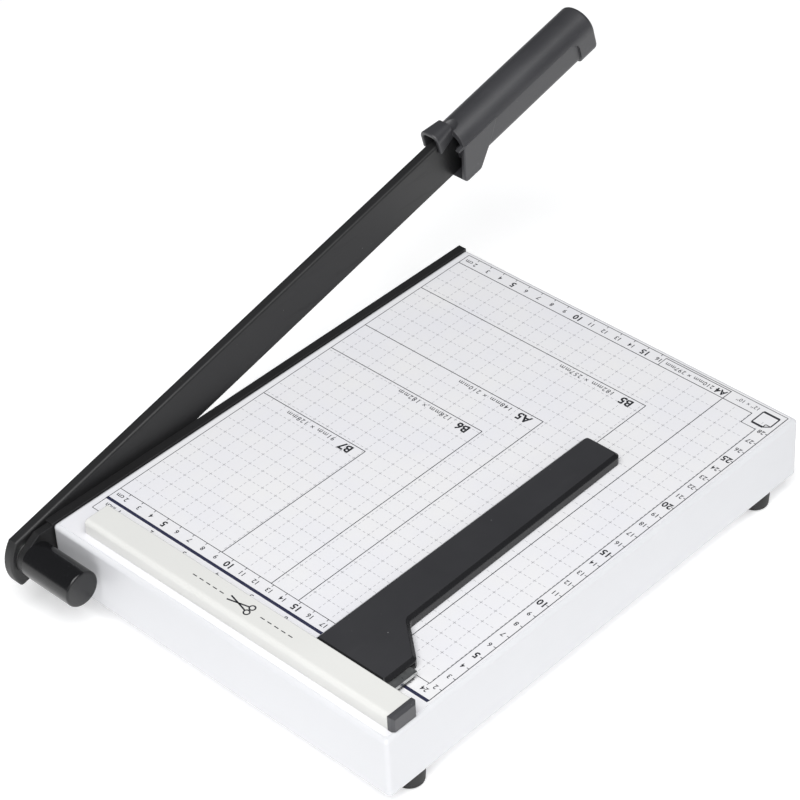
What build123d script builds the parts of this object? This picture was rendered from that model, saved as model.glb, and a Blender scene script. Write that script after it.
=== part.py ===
from build123d import *

import math
import os

# Guillotine paper cutter, built as the separate pieces it is assembled from.
#
# Frame: millimetres. The origin is the middle of the underside of the rear right foot, on the table.
# +X points from the board towards the blade arm, +Y from the operator towards the pivot, +Z up.
# The rear right foot stands straight below the face of the paper stop, so that face is the plane Y = 0.

# ---------------------------------------------------------------- driving dimensions
board_width = 247.0
board_length = 326.5
board_height = 38.0
bed_z = 50.0

foot_inset_x = 10.0
foot_inset_y = 24.0
foot_height = bed_z - board_height

fixed_blade_thickness = 5.5
fixed_blade_height = 34.0

arm_rest_angle = 13.75
arm_web_width = 28.4
arm_flange_width = 6.0
tang_length = 93.0
pivot_setback = 37.3
pivot_drop = 16.0

handle_board_gap = 5.2
handle_length = 123.0
handle_width = 25.5
handle_height = 27.7
handle_top = 16.5

rail_blade_gap = 25.0
rail_end_gap = 5.5
rail_width = 17.0
rail_height = 9.0

guide_length = 211.0
guide_height = 7.0
guide_arm_width = 27.5
guide_tip_width = 24.5
guide_foot_width = 49.5
guide_end_gap = 14.0

pivot_nut_flats = 13.0
cap_bore_gap = 1.7
cap_wall = 1.5
cap_length = 37.0

# ---------------------------------------------------------------- sheet, fits and clearances
pan_thickness = 1.0
pan_edge_radius = 2.5
lip_width = 28.0
label_thickness = 0.3
label_margin = 2.0

blade_gap = 0.1
arm_thickness = 2.0
running_clearance = 0.05
clearance = 0.3

# ---------------------------------------------------------------- datums worked out from the sizes
cut_x = foot_inset_x + fixed_blade_thickness
board_right_x = foot_inset_x
board_left_x = board_right_x - board_width
board_rear_y = foot_inset_y
board_front_y = board_rear_y - board_length
board_mid_x = (board_left_x + board_right_x) / 2
board_mid_y = (board_front_y + board_rear_y) / 2
pan_bottom_z = bed_z - board_height
pan_top_z = bed_z - label_thickness

left_foot_x = board_left_x + foot_inset_x
front_foot_y = board_front_y + foot_inset_y

pivot_y = pivot_setback
pivot_z = bed_z - pivot_drop
arm_inner_x = cut_x + blade_gap
arm_outer_x = arm_inner_x + arm_thickness
flange_outer_x = arm_inner_x + arm_flange_width
handle_start = pivot_y - board_front_y + handle_board_gap
arm_length = handle_start + tang_length
arm_sin = math.sin(math.radians(arm_rest_angle))
arm_cos = math.cos(math.radians(arm_rest_angle))
half_web = arm_web_width / 2


def arm_side(x):
    """Plane parallel to the web at this X: local x to the handle, local y up, normal away from the board."""
    return Plane(origin=(x, pivot_y, pivot_z), x_dir=(0, -arm_cos, arm_sin), z_dir=(-1, 0, 0))


def arm_section(s):
    """Plane across the arm at distance s from the pivot: local x is +X, local y up, normal to the handle."""
    centre = (0, pivot_y - s * arm_cos, pivot_z + s * arm_sin)
    return Plane(origin=centre, x_dir=(1, 0, 0), z_dir=(0, -arm_cos, arm_sin))


def across(x):
    """Plane at this X facing +X, local x along +Y and local y along +Z."""
    return Plane(origin=(x, 0, 0), x_dir=(0, 1, 0), z_dir=(1, 0, 0))


# ---------------------------------------------------------------- fastener sizes and positions
blade_screw_r = 2.5
blade_screw_head_r = 4.6
blade_screw_recess = 0.3
blade_screw_head = blade_screw_head_r - blade_screw_r
blade_screw_count = 4
blade_screw_margin = 28.25
blade_screw_z = bed_z - 20.0
blade_screw_span = board_length - 2 * blade_screw_margin
blade_screw_pitch = blade_screw_span / (blade_screw_count - 1)
blade_screw_first_y = board_front_y + blade_screw_margin
blade_screw_ys = [blade_screw_first_y + i * blade_screw_pitch for i in range(blade_screw_count)]
blade_washer_r = 5.0
blade_washer_thickness = 1.0
nut5_flats = 8.0
nut5_height = 4.0

rail_screw_r = 2.0
rail_screw_head_r = 3.5
rail_screw_head = 2.4
rail_screw_depth = 5.5
rail_screw_margin = 21.0
rail_screw_y = 10.2

stud_r = 2.5
stud_flange_r = 5.0
stud_flange = 1.5
stud_depth = 7.0
stud_rise = 8.0
foot_washer_r = 5.0
foot_washer_thickness = 1.0
foot_points = [
    (0, 0),
    (left_foot_x, 0),
    (left_foot_x, front_foot_y),
    (0, front_foot_y),
]

rail_right_x = cut_x - rail_blade_gap
rail_left_x = board_left_x + rail_end_gap
rail_length = rail_right_x - rail_left_x
rail_mid_x = (rail_left_x + rail_right_x) / 2
rail_screw_xs = [rail_left_x + rail_screw_margin, rail_mid_x, rail_right_x - rail_screw_margin]

os.makedirs("parts", exist_ok=True)


# ---------------------------------------------------------------- base pan
# A folded steel tray, open below, with a narrow lip turned in all round to carry the feet.
with BuildPart() as base_pan:
    with BuildSketch(Plane.XY.offset(pan_bottom_z)):
        with Locations((board_mid_x, board_mid_y)):
            Rectangle(board_width, board_length)
    extrude(amount=board_height - label_thickness)
    fillet(base_pan.edges().filter_by(Axis.Z), pan_edge_radius)
    fillet(base_pan.faces().sort_by(Axis.Z)[-1].edges(), pan_edge_radius)
    with BuildSketch(Plane.XY.offset(pan_bottom_z + pan_thickness)):
        with Locations((board_mid_x, board_mid_y)):
            RectangleRounded(
                board_width - 2 * pan_thickness,
                board_length - 2 * pan_thickness,
                pan_edge_radius - pan_thickness,
            )
    extrude(amount=board_height - label_thickness - 2 * pan_thickness, mode=Mode.SUBTRACT)
    with BuildSketch(Plane.XY.offset(pan_bottom_z)):
        with Locations((board_mid_x, board_mid_y)):
            RectangleRounded(board_width - 2 * lip_width, board_length - 2 * lip_width, pan_edge_radius)
    extrude(amount=pan_thickness, mode=Mode.SUBTRACT)
    with BuildSketch(across(board_right_x)):
        with Locations([(y, blade_screw_z) for y in blade_screw_ys]):
            Circle(blade_screw_r)
    extrude(amount=-pan_thickness, mode=Mode.SUBTRACT)
    with BuildSketch(Plane.XY.offset(pan_top_z)):
        with Locations([(x, rail_screw_y) for x in rail_screw_xs]):
            Circle(rail_screw_r)
    extrude(amount=-pan_thickness, mode=Mode.SUBTRACT)
    with BuildSketch(Plane.XY.offset(pan_bottom_z)):
        with Locations(foot_points):
            Circle(stud_r)
    extrude(amount=pan_thickness, mode=Mode.SUBTRACT)
base_pan.part.label = "base_pan"
export_step(base_pan.part, "parts/base_pan.step")


# ---------------------------------------------------------------- printed bed label
with BuildPart() as bed_label:
    with BuildSketch(Plane.XY.offset(pan_top_z)):
        with Locations((board_mid_x, board_mid_y)):
            RectangleRounded(
                board_width - 2 * pan_edge_radius,
                board_length - 2 * pan_edge_radius,
                label_margin,
            )
        with Locations([(x, rail_screw_y) for x in rail_screw_xs]):
            Circle(rail_screw_r, mode=Mode.SUBTRACT)
    extrude(amount=label_thickness)
bed_label.part.label = "bed_label"
export_step(bed_label.part, "parts/bed_label.step")


# ---------------------------------------------------------------- fixed blade with its pivot ear
# A steel bar on edge along the board. Behind the board it runs on as a relieved ear for the pivot.
ear_radius = 10.2
ear_flat = 9.3
ear_relief = 1.0
ear_top_drop = 1.5
ear_inner_x = cut_x - fixed_blade_thickness
pivot_r = 4.0
blade_chamfer = 0.4

with BuildPart() as fixed_blade:
    with BuildSketch(across(ear_inner_x)):
        with BuildLine():
            Polyline(
                (board_front_y, bed_z - fixed_blade_height),
                (board_front_y, bed_z),
                (board_rear_y, bed_z),
                (board_rear_y, bed_z - ear_top_drop),
                (board_rear_y + ear_flat, bed_z - ear_top_drop),
                (pivot_y + ear_radius / 3, pivot_z + ear_radius - ear_relief / 3),
                (pivot_y + ear_radius, pivot_z),
                (pivot_y, pivot_z - ear_radius),
                (board_rear_y, bed_z - fixed_blade_height),
                close=True,
            )
        make_face()
        with Locations((pivot_y, pivot_z)):
            Circle(ear_radius)
        with Locations((pivot_y, pivot_z)):
            Circle(pivot_r, mode=Mode.SUBTRACT)
        with Locations([(y, blade_screw_z) for y in blade_screw_ys]):
            Circle(blade_screw_r, mode=Mode.SUBTRACT)
    extrude(amount=fixed_blade_thickness)
    with BuildSketch(across(cut_x - ear_relief)):
        with Locations((board_rear_y + ear_radius + pivot_y, pivot_z)):
            Rectangle(2 * (ear_radius + pivot_y), 2 * fixed_blade_height)
    extrude(amount=ear_relief, mode=Mode.SUBTRACT)
    for y in blade_screw_ys:
        with Locations(Location((cut_x, y, blade_screw_z), (0, 90, 0))):
            Hole(blade_screw_head_r, depth=blade_screw_recess)
        with Locations(
            Location((cut_x - blade_screw_recess - blade_screw_head / 2, y, blade_screw_z), (0, 90, 0))
        ):
            Cone(blade_screw_r, blade_screw_head_r, blade_screw_head, mode=Mode.SUBTRACT)
    foot_edges = fixed_blade.edges().filter_by(Axis.Y).sort_by(Axis.Z)[:2]
    chamfer(foot_edges, blade_chamfer)
fixed_blade.part.label = "fixed_blade"
export_step(fixed_blade.part, "parts/fixed_blade.step")


# ---------------------------------------------------------------- fixed blade screws, washers and nuts
blade_screw_length = fixed_blade_thickness + pan_thickness + blade_washer_thickness + nut5_height + 1.0

with BuildPart() as fixed_blade_screws:
    for y in blade_screw_ys:
        head_x = cut_x - blade_screw_recess
        with Locations(Location((head_x - blade_screw_head / 2, y, blade_screw_z), (0, 90, 0))):
            Cone(blade_screw_r, blade_screw_head_r, blade_screw_head)
        with BuildSketch(across(head_x)):
            with Locations((y, blade_screw_z)):
                Circle(blade_screw_r)
        extrude(amount=-(blade_screw_length - blade_screw_recess))
        with BuildSketch(across(head_x)):
            with Locations((y, blade_screw_z)):
                Rectangle(6.0, 1.0)
                Rectangle(1.0, 6.0)
        extrude(amount=-1.2, mode=Mode.SUBTRACT)
fixed_blade_screws.part.label = "fixed_blade_screws"
export_step(fixed_blade_screws.part, "parts/fixed_blade_screws.step")

with BuildPart() as fixed_blade_washers:
    with BuildSketch(across(board_right_x - pan_thickness)):
        with Locations([(y, blade_screw_z) for y in blade_screw_ys]):
            Circle(blade_washer_r)
            Circle(blade_screw_r, mode=Mode.SUBTRACT)
    extrude(amount=-blade_washer_thickness)
fixed_blade_washers.part.label = "fixed_blade_washers"
export_step(fixed_blade_washers.part, "parts/fixed_blade_washers.step")

with BuildPart() as fixed_blade_nuts:
    with BuildSketch(across(board_right_x - pan_thickness - blade_washer_thickness)):
        with Locations([(y, blade_screw_z) for y in blade_screw_ys]):
            RegularPolygon(nut5_flats / 2, 6, major_radius=False)
            Circle(blade_screw_r, mode=Mode.SUBTRACT)
    extrude(amount=-nut5_height)
fixed_blade_nuts.part.label = "fixed_blade_nuts"
export_step(fixed_blade_nuts.part, "parts/fixed_blade_nuts.step")


# ---------------------------------------------------------------- paper stop rail
# A white bar across the rear of the bed. The face at Y = 0 is the stop; a slot in it holds the guide.
slot_bottom = 2.0
slot_height = 2.6
slot_depth = 7.0
rail_edge_radius = 3.0
plug_length = 10.0
plug_width = 5.5
plug_height = 4.5
plug_y = 11.5
plug_z = bed_z + rail_height - 3.6

with BuildPart() as paper_stop_rail:
    with BuildSketch(Plane.XY.offset(bed_z)):
        with Locations((rail_mid_x, rail_width / 2)):
            Rectangle(rail_length, rail_width)
    extrude(amount=rail_height)
    rear_top = paper_stop_rail.edges().filter_by(Axis.X).sort_by(Axis.Z)[-2:].sort_by(Axis.Y)[-1]
    fillet(rear_top, rail_edge_radius)
    with BuildSketch(Plane.XZ):
        with Locations((rail_mid_x, bed_z + slot_bottom + slot_height / 2)):
            Rectangle(rail_length, slot_height)
    extrude(amount=-slot_depth, mode=Mode.SUBTRACT)
    with BuildSketch(across(rail_left_x)):
        with Locations((plug_y, plug_z)):
            Rectangle(plug_width, plug_height)
    extrude(amount=plug_length, mode=Mode.SUBTRACT)
    with BuildSketch(Plane.XY.offset(bed_z)):
        with Locations([(x, rail_screw_y) for x in rail_screw_xs]):
            Circle(rail_screw_r)
    extrude(amount=rail_screw_depth, mode=Mode.SUBTRACT)
    front_top = paper_stop_rail.edges().filter_by(Axis.X).sort_by(Axis.Z)[-1]
    chamfer(front_top, blade_chamfer)
paper_stop_rail.part.label = "paper_stop_rail"
export_step(paper_stop_rail.part, "parts/paper_stop_rail.step")


# ---------------------------------------------------------------- rail end cap
cap_plate = 4.0
cap_plate_chamfer = 1.4
cap_overhang = 0.4

with BuildPart() as rail_end_cap:
    with BuildSketch(across(rail_left_x)):
        with Locations((rail_width / 2, bed_z + (rail_height + cap_overhang) / 2)):
            Rectangle(rail_width + cap_overhang, rail_height + cap_overhang)
    extrude(amount=-cap_plate)
    outer_face = rail_end_cap.faces().sort_by(Axis.X)[0]
    outer_edges = outer_face.edges().sort_by(Axis.Z)[1:]
    chamfer(outer_edges, cap_plate_chamfer)
    with BuildSketch(across(rail_left_x)):
        with Locations((plug_y, plug_z)):
            Rectangle(plug_width, plug_height)
    extrude(amount=plug_length - clearance)
rail_end_cap.part.label = "rail_end_cap"
export_step(rail_end_cap.part, "parts/rail_end_cap.step")


# ---------------------------------------------------------------- rail screws, driven up from inside the pan
with BuildPart() as rail_screws:
    with BuildSketch(Plane.XY.offset(pan_top_z - pan_thickness)):
        with Locations([(x, rail_screw_y) for x in rail_screw_xs]):
            Circle(rail_screw_head_r)
    extrude(amount=-rail_screw_head)
    with BuildSketch(Plane.XY.offset(pan_top_z - pan_thickness)):
        with Locations([(x, rail_screw_y) for x in rail_screw_xs]):
            Circle(rail_screw_r)
    extrude(amount=pan_thickness + label_thickness + rail_screw_depth - clearance)
    with BuildSketch(Plane.XY.offset(pan_top_z - pan_thickness - rail_screw_head)):
        with Locations([(x, rail_screw_y) for x in rail_screw_xs]):
            Rectangle(4.0, 0.9)
            Rectangle(0.9, 4.0)
    extrude(amount=1.2, mode=Mode.SUBTRACT)
rail_screws.part.label = "rail_screws"
export_step(rail_screws.part, "parts/rail_screws.step")


# ---------------------------------------------------------------- rubber feet with moulded-in studs
foot_bottom_r = 8.0
foot_top_r = 9.0
foot_edge = 0.8
foot_names = ["foot_rear_right", "foot_rear_left", "foot_front_left", "foot_front_right"]

for foot_name, foot_point in zip(foot_names, foot_points):
    with BuildPart() as foot:
        with Locations((foot_point[0], foot_point[1], foot_height / 2)):
            Cone(foot_bottom_r, foot_top_r, foot_height)
        fillet(foot.faces().sort_by(Axis.Z)[0].edges(), foot_edge)
        with BuildSketch(Plane.XY.offset(foot_height)):
            with Locations(foot_point):
                Circle(stud_r)
        extrude(amount=-stud_depth, mode=Mode.SUBTRACT)
        with BuildSketch(Plane.XY.offset(foot_height - stud_depth)):
            with Locations(foot_point):
                Circle(stud_flange_r)
        extrude(amount=stud_flange, mode=Mode.SUBTRACT)
    foot.part.label = foot_name
    export_step(foot.part, f"parts/{foot_name}.step")

with BuildPart() as foot_studs:
    with BuildSketch(Plane.XY.offset(foot_height - stud_depth)):
        with Locations(foot_points):
            Circle(stud_r)
    extrude(amount=stud_depth + stud_rise)
    with BuildSketch(Plane.XY.offset(foot_height - stud_depth)):
        with Locations(foot_points):
            Circle(stud_flange_r)
    extrude(amount=stud_flange)
foot_studs.part.label = "foot_studs"
export_step(foot_studs.part, "parts/foot_studs.step")

with BuildPart() as foot_washers:
    with BuildSketch(Plane.XY.offset(pan_bottom_z + pan_thickness)):
        with Locations(foot_points):
            Circle(foot_washer_r)
            Circle(stud_r, mode=Mode.SUBTRACT)
    extrude(amount=foot_washer_thickness)
foot_washers.part.label = "foot_washers"
export_step(foot_washers.part, "parts/foot_washers.step")

with BuildPart() as foot_nuts:
    with BuildSketch(Plane.XY.offset(pan_bottom_z + pan_thickness + foot_washer_thickness)):
        with Locations(foot_points):
            RegularPolygon(nut5_flats / 2, 6, major_radius=False)
            Circle(stud_r, mode=Mode.SUBTRACT)
    extrude(amount=nut5_height)
foot_nuts.part.label = "foot_nuts"
export_step(foot_nuts.part, "parts/foot_nuts.step")


# ---------------------------------------------------------------- blade arm
# Steel sheet: a flat web whose lower edge is the moving blade, with its top edge folded outwards.
# The fold runs on round the blunt rear end.
end_back = 12.2
end_bulge = 11.8
end_corner = 4.5
edge_bevel = 1.3
edge_bevel_height = 5.0
edge_land = 0.7
fold_radius = 1.5
bush_r = 6.5
tang_start = handle_start + 8.0
tang_low = 8.0
handle_screw_r = 2.0
handle_screw_points = [(handle_start + 40.0, 0), (handle_start + 80.0, 0)]

with BuildSketch(arm_side(flange_outer_x)) as arm_outline:
    with BuildLine():
        ThreePointArc(
            (-end_corner, half_web),
            (-end_bulge, half_web / 3),
            (-end_back, -half_web),
        )
        Polyline(
            (-end_back, -half_web),
            (tang_start, -half_web),
            (tang_start, -tang_low),
            (arm_length, -tang_low),
            (arm_length, half_web),
            (-end_corner, half_web),
        )
    make_face()

with BuildSketch(arm_side(flange_outer_x)) as arm_inside:
    with BuildLine():
        ThreePointArc(
            (-end_corner + arm_thickness / 2, half_web - arm_thickness),
            (-end_bulge + arm_thickness, half_web / 3),
            (-end_back + arm_thickness, -half_web),
        )
        Polyline(
            (-end_back + arm_thickness, -half_web),
            (-end_back + arm_thickness, -half_web - 1),
            (arm_length + 1, -half_web - 1),
            (arm_length + 1, half_web - arm_thickness),
            (-end_corner + arm_thickness / 2, half_web - arm_thickness),
        )
    make_face()

with BuildPart() as blade_arm:
    add(arm_outline.sketch)
    extrude(amount=arm_flange_width, dir=(-1, 0, 0))
    add(arm_inside.sketch)
    extrude(amount=arm_flange_width - arm_thickness, dir=(-1, 0, 0), mode=Mode.SUBTRACT)
    web_edges = blade_arm.faces().sort_by(Axis.X)[0].edges()
    top_edge = web_edges.sort_by(Axis((0, pivot_y, pivot_z), (0, arm_sin, arm_cos)))[-1:]
    fillet(web_edges.filter_by(GeomType.CIRCLE) + top_edge, fold_radius)
    with BuildSketch(arm_section(-end_back)):
        with BuildLine():
            Polyline(
                (arm_outer_x, -half_web),
                (arm_outer_x, -half_web + edge_bevel_height),
                (arm_inner_x + edge_land, -half_web),
                close=True,
            )
        make_face()
    extrude(amount=arm_length + end_back, mode=Mode.SUBTRACT)
    with BuildSketch(arm_side(arm_outer_x)):
        Circle(bush_r)
        with Locations(handle_screw_points):
            Circle(handle_screw_r)
    extrude(amount=arm_thickness, mode=Mode.SUBTRACT)
blade_arm.part.label = "blade_arm"
export_step(blade_arm.part, "parts/blade_arm.step")


# ---------------------------------------------------------------- pivot bush, pressed into the arm's web
with BuildPart() as pivot_bush:
    with BuildSketch(arm_side(arm_outer_x)):
        Circle(bush_r)
        Circle(pivot_r + running_clearance, mode=Mode.SUBTRACT)
    extrude(amount=arm_thickness)
pivot_bush.part.label = "pivot_bush"
export_step(pivot_bush.part, "parts/pivot_bush.step")


# ---------------------------------------------------------------- pivot bolt and the stack it clamps
bolt_head_height = 5.3
nut_corner_r = pivot_nut_flats / math.sqrt(3)
cap_bore_r = nut_corner_r + cap_bore_gap
cap_radius = cap_bore_r + cap_wall
spring_length = 22.0
spring_wire_r = 0.9
spring_mean_r = nut_corner_r - spring_wire_r
spring_turns = 5.5
seat_thickness = 1.6
nut8_height = 6.5
bolt_tail = 2.4
cap_end_wall = 2.0
cap_end_radius = 1.3
bolt_head_x = arm_outer_x + blade_gap
spring_end_x = ear_inner_x - spring_length
nut_x = spring_end_x - seat_thickness
bolt_end_x = nut_x - nut8_height - bolt_tail

with BuildPart() as pivot_bolt:
    with BuildSketch(across(bolt_head_x)):
        with Locations((pivot_y, pivot_z)):
            RegularPolygon(pivot_nut_flats / 2, 6, major_radius=False)
    extrude(amount=bolt_head_height)
    chamfer(pivot_bolt.faces().sort_by(Axis.X)[-1].edges(), 0.6)
    with BuildSketch(across(bolt_head_x)):
        with Locations((pivot_y, pivot_z)):
            Circle(pivot_r)
    extrude(amount=bolt_end_x - bolt_head_x)
    chamfer(pivot_bolt.faces().sort_by(Axis.X)[0].edges(), 0.6)
pivot_bolt.part.label = "pivot_bolt"
export_step(pivot_bolt.part, "parts/pivot_bolt.step")

with BuildPart() as thrust_washer:
    with BuildSketch(across(cut_x - ear_relief)):
        with Locations((pivot_y, pivot_z)):
            Circle(bush_r + 3.0)
            Circle(pivot_r, mode=Mode.SUBTRACT)
    extrude(amount=ear_relief)
thrust_washer.part.label = "thrust_washer"
export_step(thrust_washer.part, "parts/thrust_washer.step")

spring_pitch = (spring_length - 2 * spring_wire_r) / spring_turns
spring_start = (spring_end_x + spring_wire_r, pivot_y, pivot_z)
with BuildPart() as pivot_spring:
    with BuildLine() as spring_line:
        Helix(
            spring_pitch,
            spring_pitch * spring_turns,
            spring_mean_r,
            center=spring_start,
            direction=(1, 0, 0),
        )
    with BuildSketch(Plane(origin=spring_line.line @ 0, z_dir=spring_line.line % 0)):
        Circle(spring_wire_r)
    sweep(path=spring_line.line, is_frenet=True)
pivot_spring.part.label = "pivot_spring"
export_step(pivot_spring.part, "parts/pivot_spring.step")

with BuildPart() as spring_seat:
    with BuildSketch(across(spring_end_x)):
        with Locations((pivot_y, pivot_z)):
            Circle(cap_bore_r)
            Circle(pivot_r, mode=Mode.SUBTRACT)
    extrude(amount=-seat_thickness)
spring_seat.part.label = "spring_seat"
export_step(spring_seat.part, "parts/spring_seat.step")

with BuildPart() as pivot_nut:
    with BuildSketch(across(nut_x)):
        with Locations((pivot_y, pivot_z)):
            RegularPolygon(pivot_nut_flats / 2, 6, major_radius=False)
            Circle(pivot_r, mode=Mode.SUBTRACT)
    extrude(amount=-nut8_height)
pivot_nut.part.label = "pivot_nut"
export_step(pivot_nut.part, "parts/pivot_nut.step")

with BuildPart() as pivot_cap:
    with BuildSketch(across(ear_inner_x)):
        with Locations((pivot_y, pivot_z)):
            Circle(cap_radius)
    extrude(amount=-cap_length)
    fillet(pivot_cap.faces().sort_by(Axis.X)[0].edges(), cap_end_radius)
    with BuildSketch(across(ear_inner_x)):
        with Locations((pivot_y, pivot_z)):
            Circle(cap_bore_r)
    extrude(amount=-(cap_length - cap_end_wall), mode=Mode.SUBTRACT)
pivot_cap.part.label = "pivot_cap"
export_step(pivot_cap.part, "parts/pivot_cap.step")


# ---------------------------------------------------------------- handle
# Moulded grip over the arm's tang, with a hollow finger guard at its mouth and a saddle over the fold.
handle_mid_x = cut_x + arm_flange_width / 2
handle_near_x = handle_mid_x - handle_width / 2
handle_bottom = handle_top - handle_height
crown_flat = 0.55
handle_crown = handle_width / 2 - crown_flat
handle_heel = 5.0
handle_end_radius = 2.5
grip_inset = 1.35
grip_width = handle_width - 2 * grip_inset
grip_low = -10.3
grip_heel = 4.5
grip_from = handle_start + 14.0
recess_from = handle_start + 33.0
recess_to = handle_start + 108.0
recess_top = 7.2
recess_corner = 7.0
guard_low = -16.5
guard_wall = 2.5
guard_depth = 17.0
guard_reach = 2.0
guard_lean = 6.3
guard_corner = 3.0
guard_edge_radius = 1.0
guard_sole = 13.0
guard_heel = 26.0
mouth_top = handle_top - 4.0
mouth_corner = 8.0
mouth_slope = guard_lean / (recess_top + 1 - guard_low)
mouth_far = handle_start - guard_reach + mouth_slope * (2 * handle_top - guard_low)
rib_height = 8.0
rib_drop = 2.0
scoop_radius = 10.0
scoop_rise = 8.0
saddle_reach = 7.5
saddle_width = 14.8
saddle_wall = 2.6
saddle_low = 9.5
saddle_flare = 8.0
saddle_top = 22.6
saddle_corner = 5.5
saddle_overlap = 6.0
saddle_edge_radius = 0.9
screw_head_r = 3.6
screw_sink = 0.8
handle_screw_length = grip_width - 4.0
grip_outer_x = handle_mid_x + grip_width / 2
saddle_near_x = cut_x - saddle_wall
saddle_length = saddle_reach + saddle_overlap

with BuildPart() as guard_block:
    with BuildSketch(arm_side(handle_mid_x + handle_width / 2)) as guard_outline:
        with BuildLine():
            Polyline(
                (handle_start - guard_reach + guard_lean, recess_top + 1),
                (handle_start - guard_reach, guard_low),
                (handle_start + guard_sole, guard_low),
                (handle_start + guard_heel, -3),
                (recess_from + 1, recess_top + 1),
                close=True,
            )
        make_face()
        fillet(guard_outline.vertices().sort_by(Axis.Y)[:2], guard_corner)
    extrude(amount=handle_width, dir=(-1, 0, 0))
    near_rim = guard_block.faces().sort_by(Axis.X)[0].edges().sort_by(Axis.Z)[:-1]
    far_rim = guard_block.faces().sort_by(Axis.X)[-1].edges().sort_by(Axis.Z)[:-1]
    fillet(near_rim + far_rim, guard_edge_radius)

with BuildPart() as saddle:
    with BuildSketch(arm_section(handle_start - saddle_reach)) as saddle_outline:
        with Locations((saddle_near_x + saddle_width / 2, (saddle_top + saddle_low) / 2)):
            Rectangle(saddle_width, saddle_top - saddle_low)
        fillet(saddle_outline.vertices().sort_by(Axis.Y)[-2:], saddle_corner)
    extrude(amount=saddle_length, taper=saddle_flare)
    with BuildSketch(arm_section(handle_start - saddle_reach)) as saddle_mouth:
        with Locations((saddle_near_x + saddle_width / 2, (saddle_top - saddle_wall + saddle_low) / 2)):
            Rectangle(saddle_width - 2 * saddle_wall, saddle_top - saddle_wall - saddle_low)
        fillet(saddle_mouth.vertices().sort_by(Axis.Y)[-2:], saddle_corner - saddle_wall)
    extrude(amount=saddle_length, taper=saddle_flare, mode=Mode.SUBTRACT)
    saddle_front = saddle.faces().sort_by(Axis.Y)[-1]
    fillet(saddle_front.edges().sort_by(Axis.Z)[2:], saddle_edge_radius)

with BuildPart() as handle:
    with BuildSketch(arm_section(handle_start)) as handle_outline:
        with Locations((handle_mid_x, (handle_top + handle_bottom) / 2)):
            Rectangle(handle_width, handle_height)
        fillet(handle_outline.vertices().sort_by(Axis.Y)[-2:], handle_crown)
        fillet(handle_outline.vertices().sort_by(Axis.Y)[:2], handle_heel)
    extrude(amount=handle_length)
    end_face = handle.faces().sort_by(Axis.Y)[0]
    fillet(end_face.edges(), handle_end_radius)
    with BuildSketch(arm_side(handle_mid_x + handle_width)) as recess_outline:
        with Locations(((handle_start + recess_to) / 2, recess_top - handle_height / 2)):
            Rectangle(recess_to - handle_start, handle_height)
        fillet(recess_outline.vertices().sort_by(Axis.X)[-2:].sort_by(Axis.Y)[-1], recess_corner)
    extrude(amount=2 * handle_width, dir=(-1, 0, 0), mode=Mode.SUBTRACT)
    with BuildSketch(arm_section(grip_from)) as grip_outline:
        with Locations((handle_mid_x, (recess_top + grip_low) / 2)):
            Rectangle(grip_width, recess_top - grip_low)
        fillet(grip_outline.vertices().sort_by(Axis.Y)[:2], grip_heel)
    extrude(amount=recess_to - grip_from + handle_start - grip_from + guard_depth)
    add(guard_block.part)
    with BuildSketch(arm_side(handle_mid_x + handle_width)):
        with BuildLine():
            Polyline(
                (handle_start - guard_reach - 1, recess_top + 1),
                (handle_start - guard_reach + guard_lean, recess_top + 1),
                (mouth_far, 2 * handle_top),
                (handle_start - guard_reach - 1, 2 * handle_top),
                close=True,
            )
        make_face()
    extrude(amount=2 * handle_width, dir=(-1, 0, 0), mode=Mode.SUBTRACT)
    with Locations(arm_section(handle_start + scoop_rise).location):
        with Locations((handle_mid_x + 1, handle_top + scoop_rise, 0)):
            Sphere(scoop_radius, mode=Mode.SUBTRACT)
    with BuildSketch(arm_section(handle_start - guard_reach)) as guard_mouth:
        with Locations((handle_mid_x, (mouth_top - half_web) / 2)):
            Rectangle(handle_width - 2 * guard_wall, mouth_top + half_web)
        fillet(guard_mouth.vertices().sort_by(Axis.Y)[-2:], mouth_corner)
    extrude(amount=guard_depth, mode=Mode.SUBTRACT)
    add(saddle.part)
    with BuildSketch(arm_section(handle_start + guard_lean)):
        with Locations(((arm_inner_x + handle_near_x + guard_wall) / 2, -rib_drop)):
            Rectangle(arm_inner_x - handle_near_x - guard_wall, rib_height)
    extrude(amount=guard_depth)
    add(arm_outline.sketch)
    extrude(amount=arm_flange_width, dir=(-1, 0, 0), mode=Mode.SUBTRACT)
    with BuildSketch(arm_side(grip_outer_x)):
        with Locations(handle_screw_points):
            Circle(screw_head_r)
    extrude(amount=screw_sink, mode=Mode.SUBTRACT)
    with BuildSketch(arm_side(grip_outer_x - screw_sink)):
        with Locations(handle_screw_points):
            Circle(handle_screw_r)
    extrude(amount=handle_screw_length, mode=Mode.SUBTRACT)
handle.part.label = "handle"
export_step(handle.part, "parts/handle.step")


# ---------------------------------------------------------------- handle screws, from the outer side
screw_head = 2.2

with BuildPart() as handle_screws:
    with BuildSketch(arm_side(grip_outer_x - screw_sink)):
        with Locations(handle_screw_points):
            Circle(screw_head_r)
    extrude(amount=-screw_head)
    dome_edges = handle_screws.faces().sort_by(Axis.X)[-2:].edges()
    fillet(dome_edges, 1.0)
    with BuildSketch(arm_side(grip_outer_x - screw_sink)):
        with Locations(handle_screw_points):
            Circle(handle_screw_r)
    extrude(amount=handle_screw_length)
    with BuildSketch(arm_side(grip_outer_x - screw_sink + screw_head)):
        with Locations(handle_screw_points):
            Rectangle(4.4, 0.9)
            Rectangle(0.9, 4.4)
    extrude(amount=1.2, mode=Mode.SUBTRACT)
handle_screws.part.label = "handle_screws"
export_step(handle_screws.part, "parts/handle_screws.step")


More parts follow.
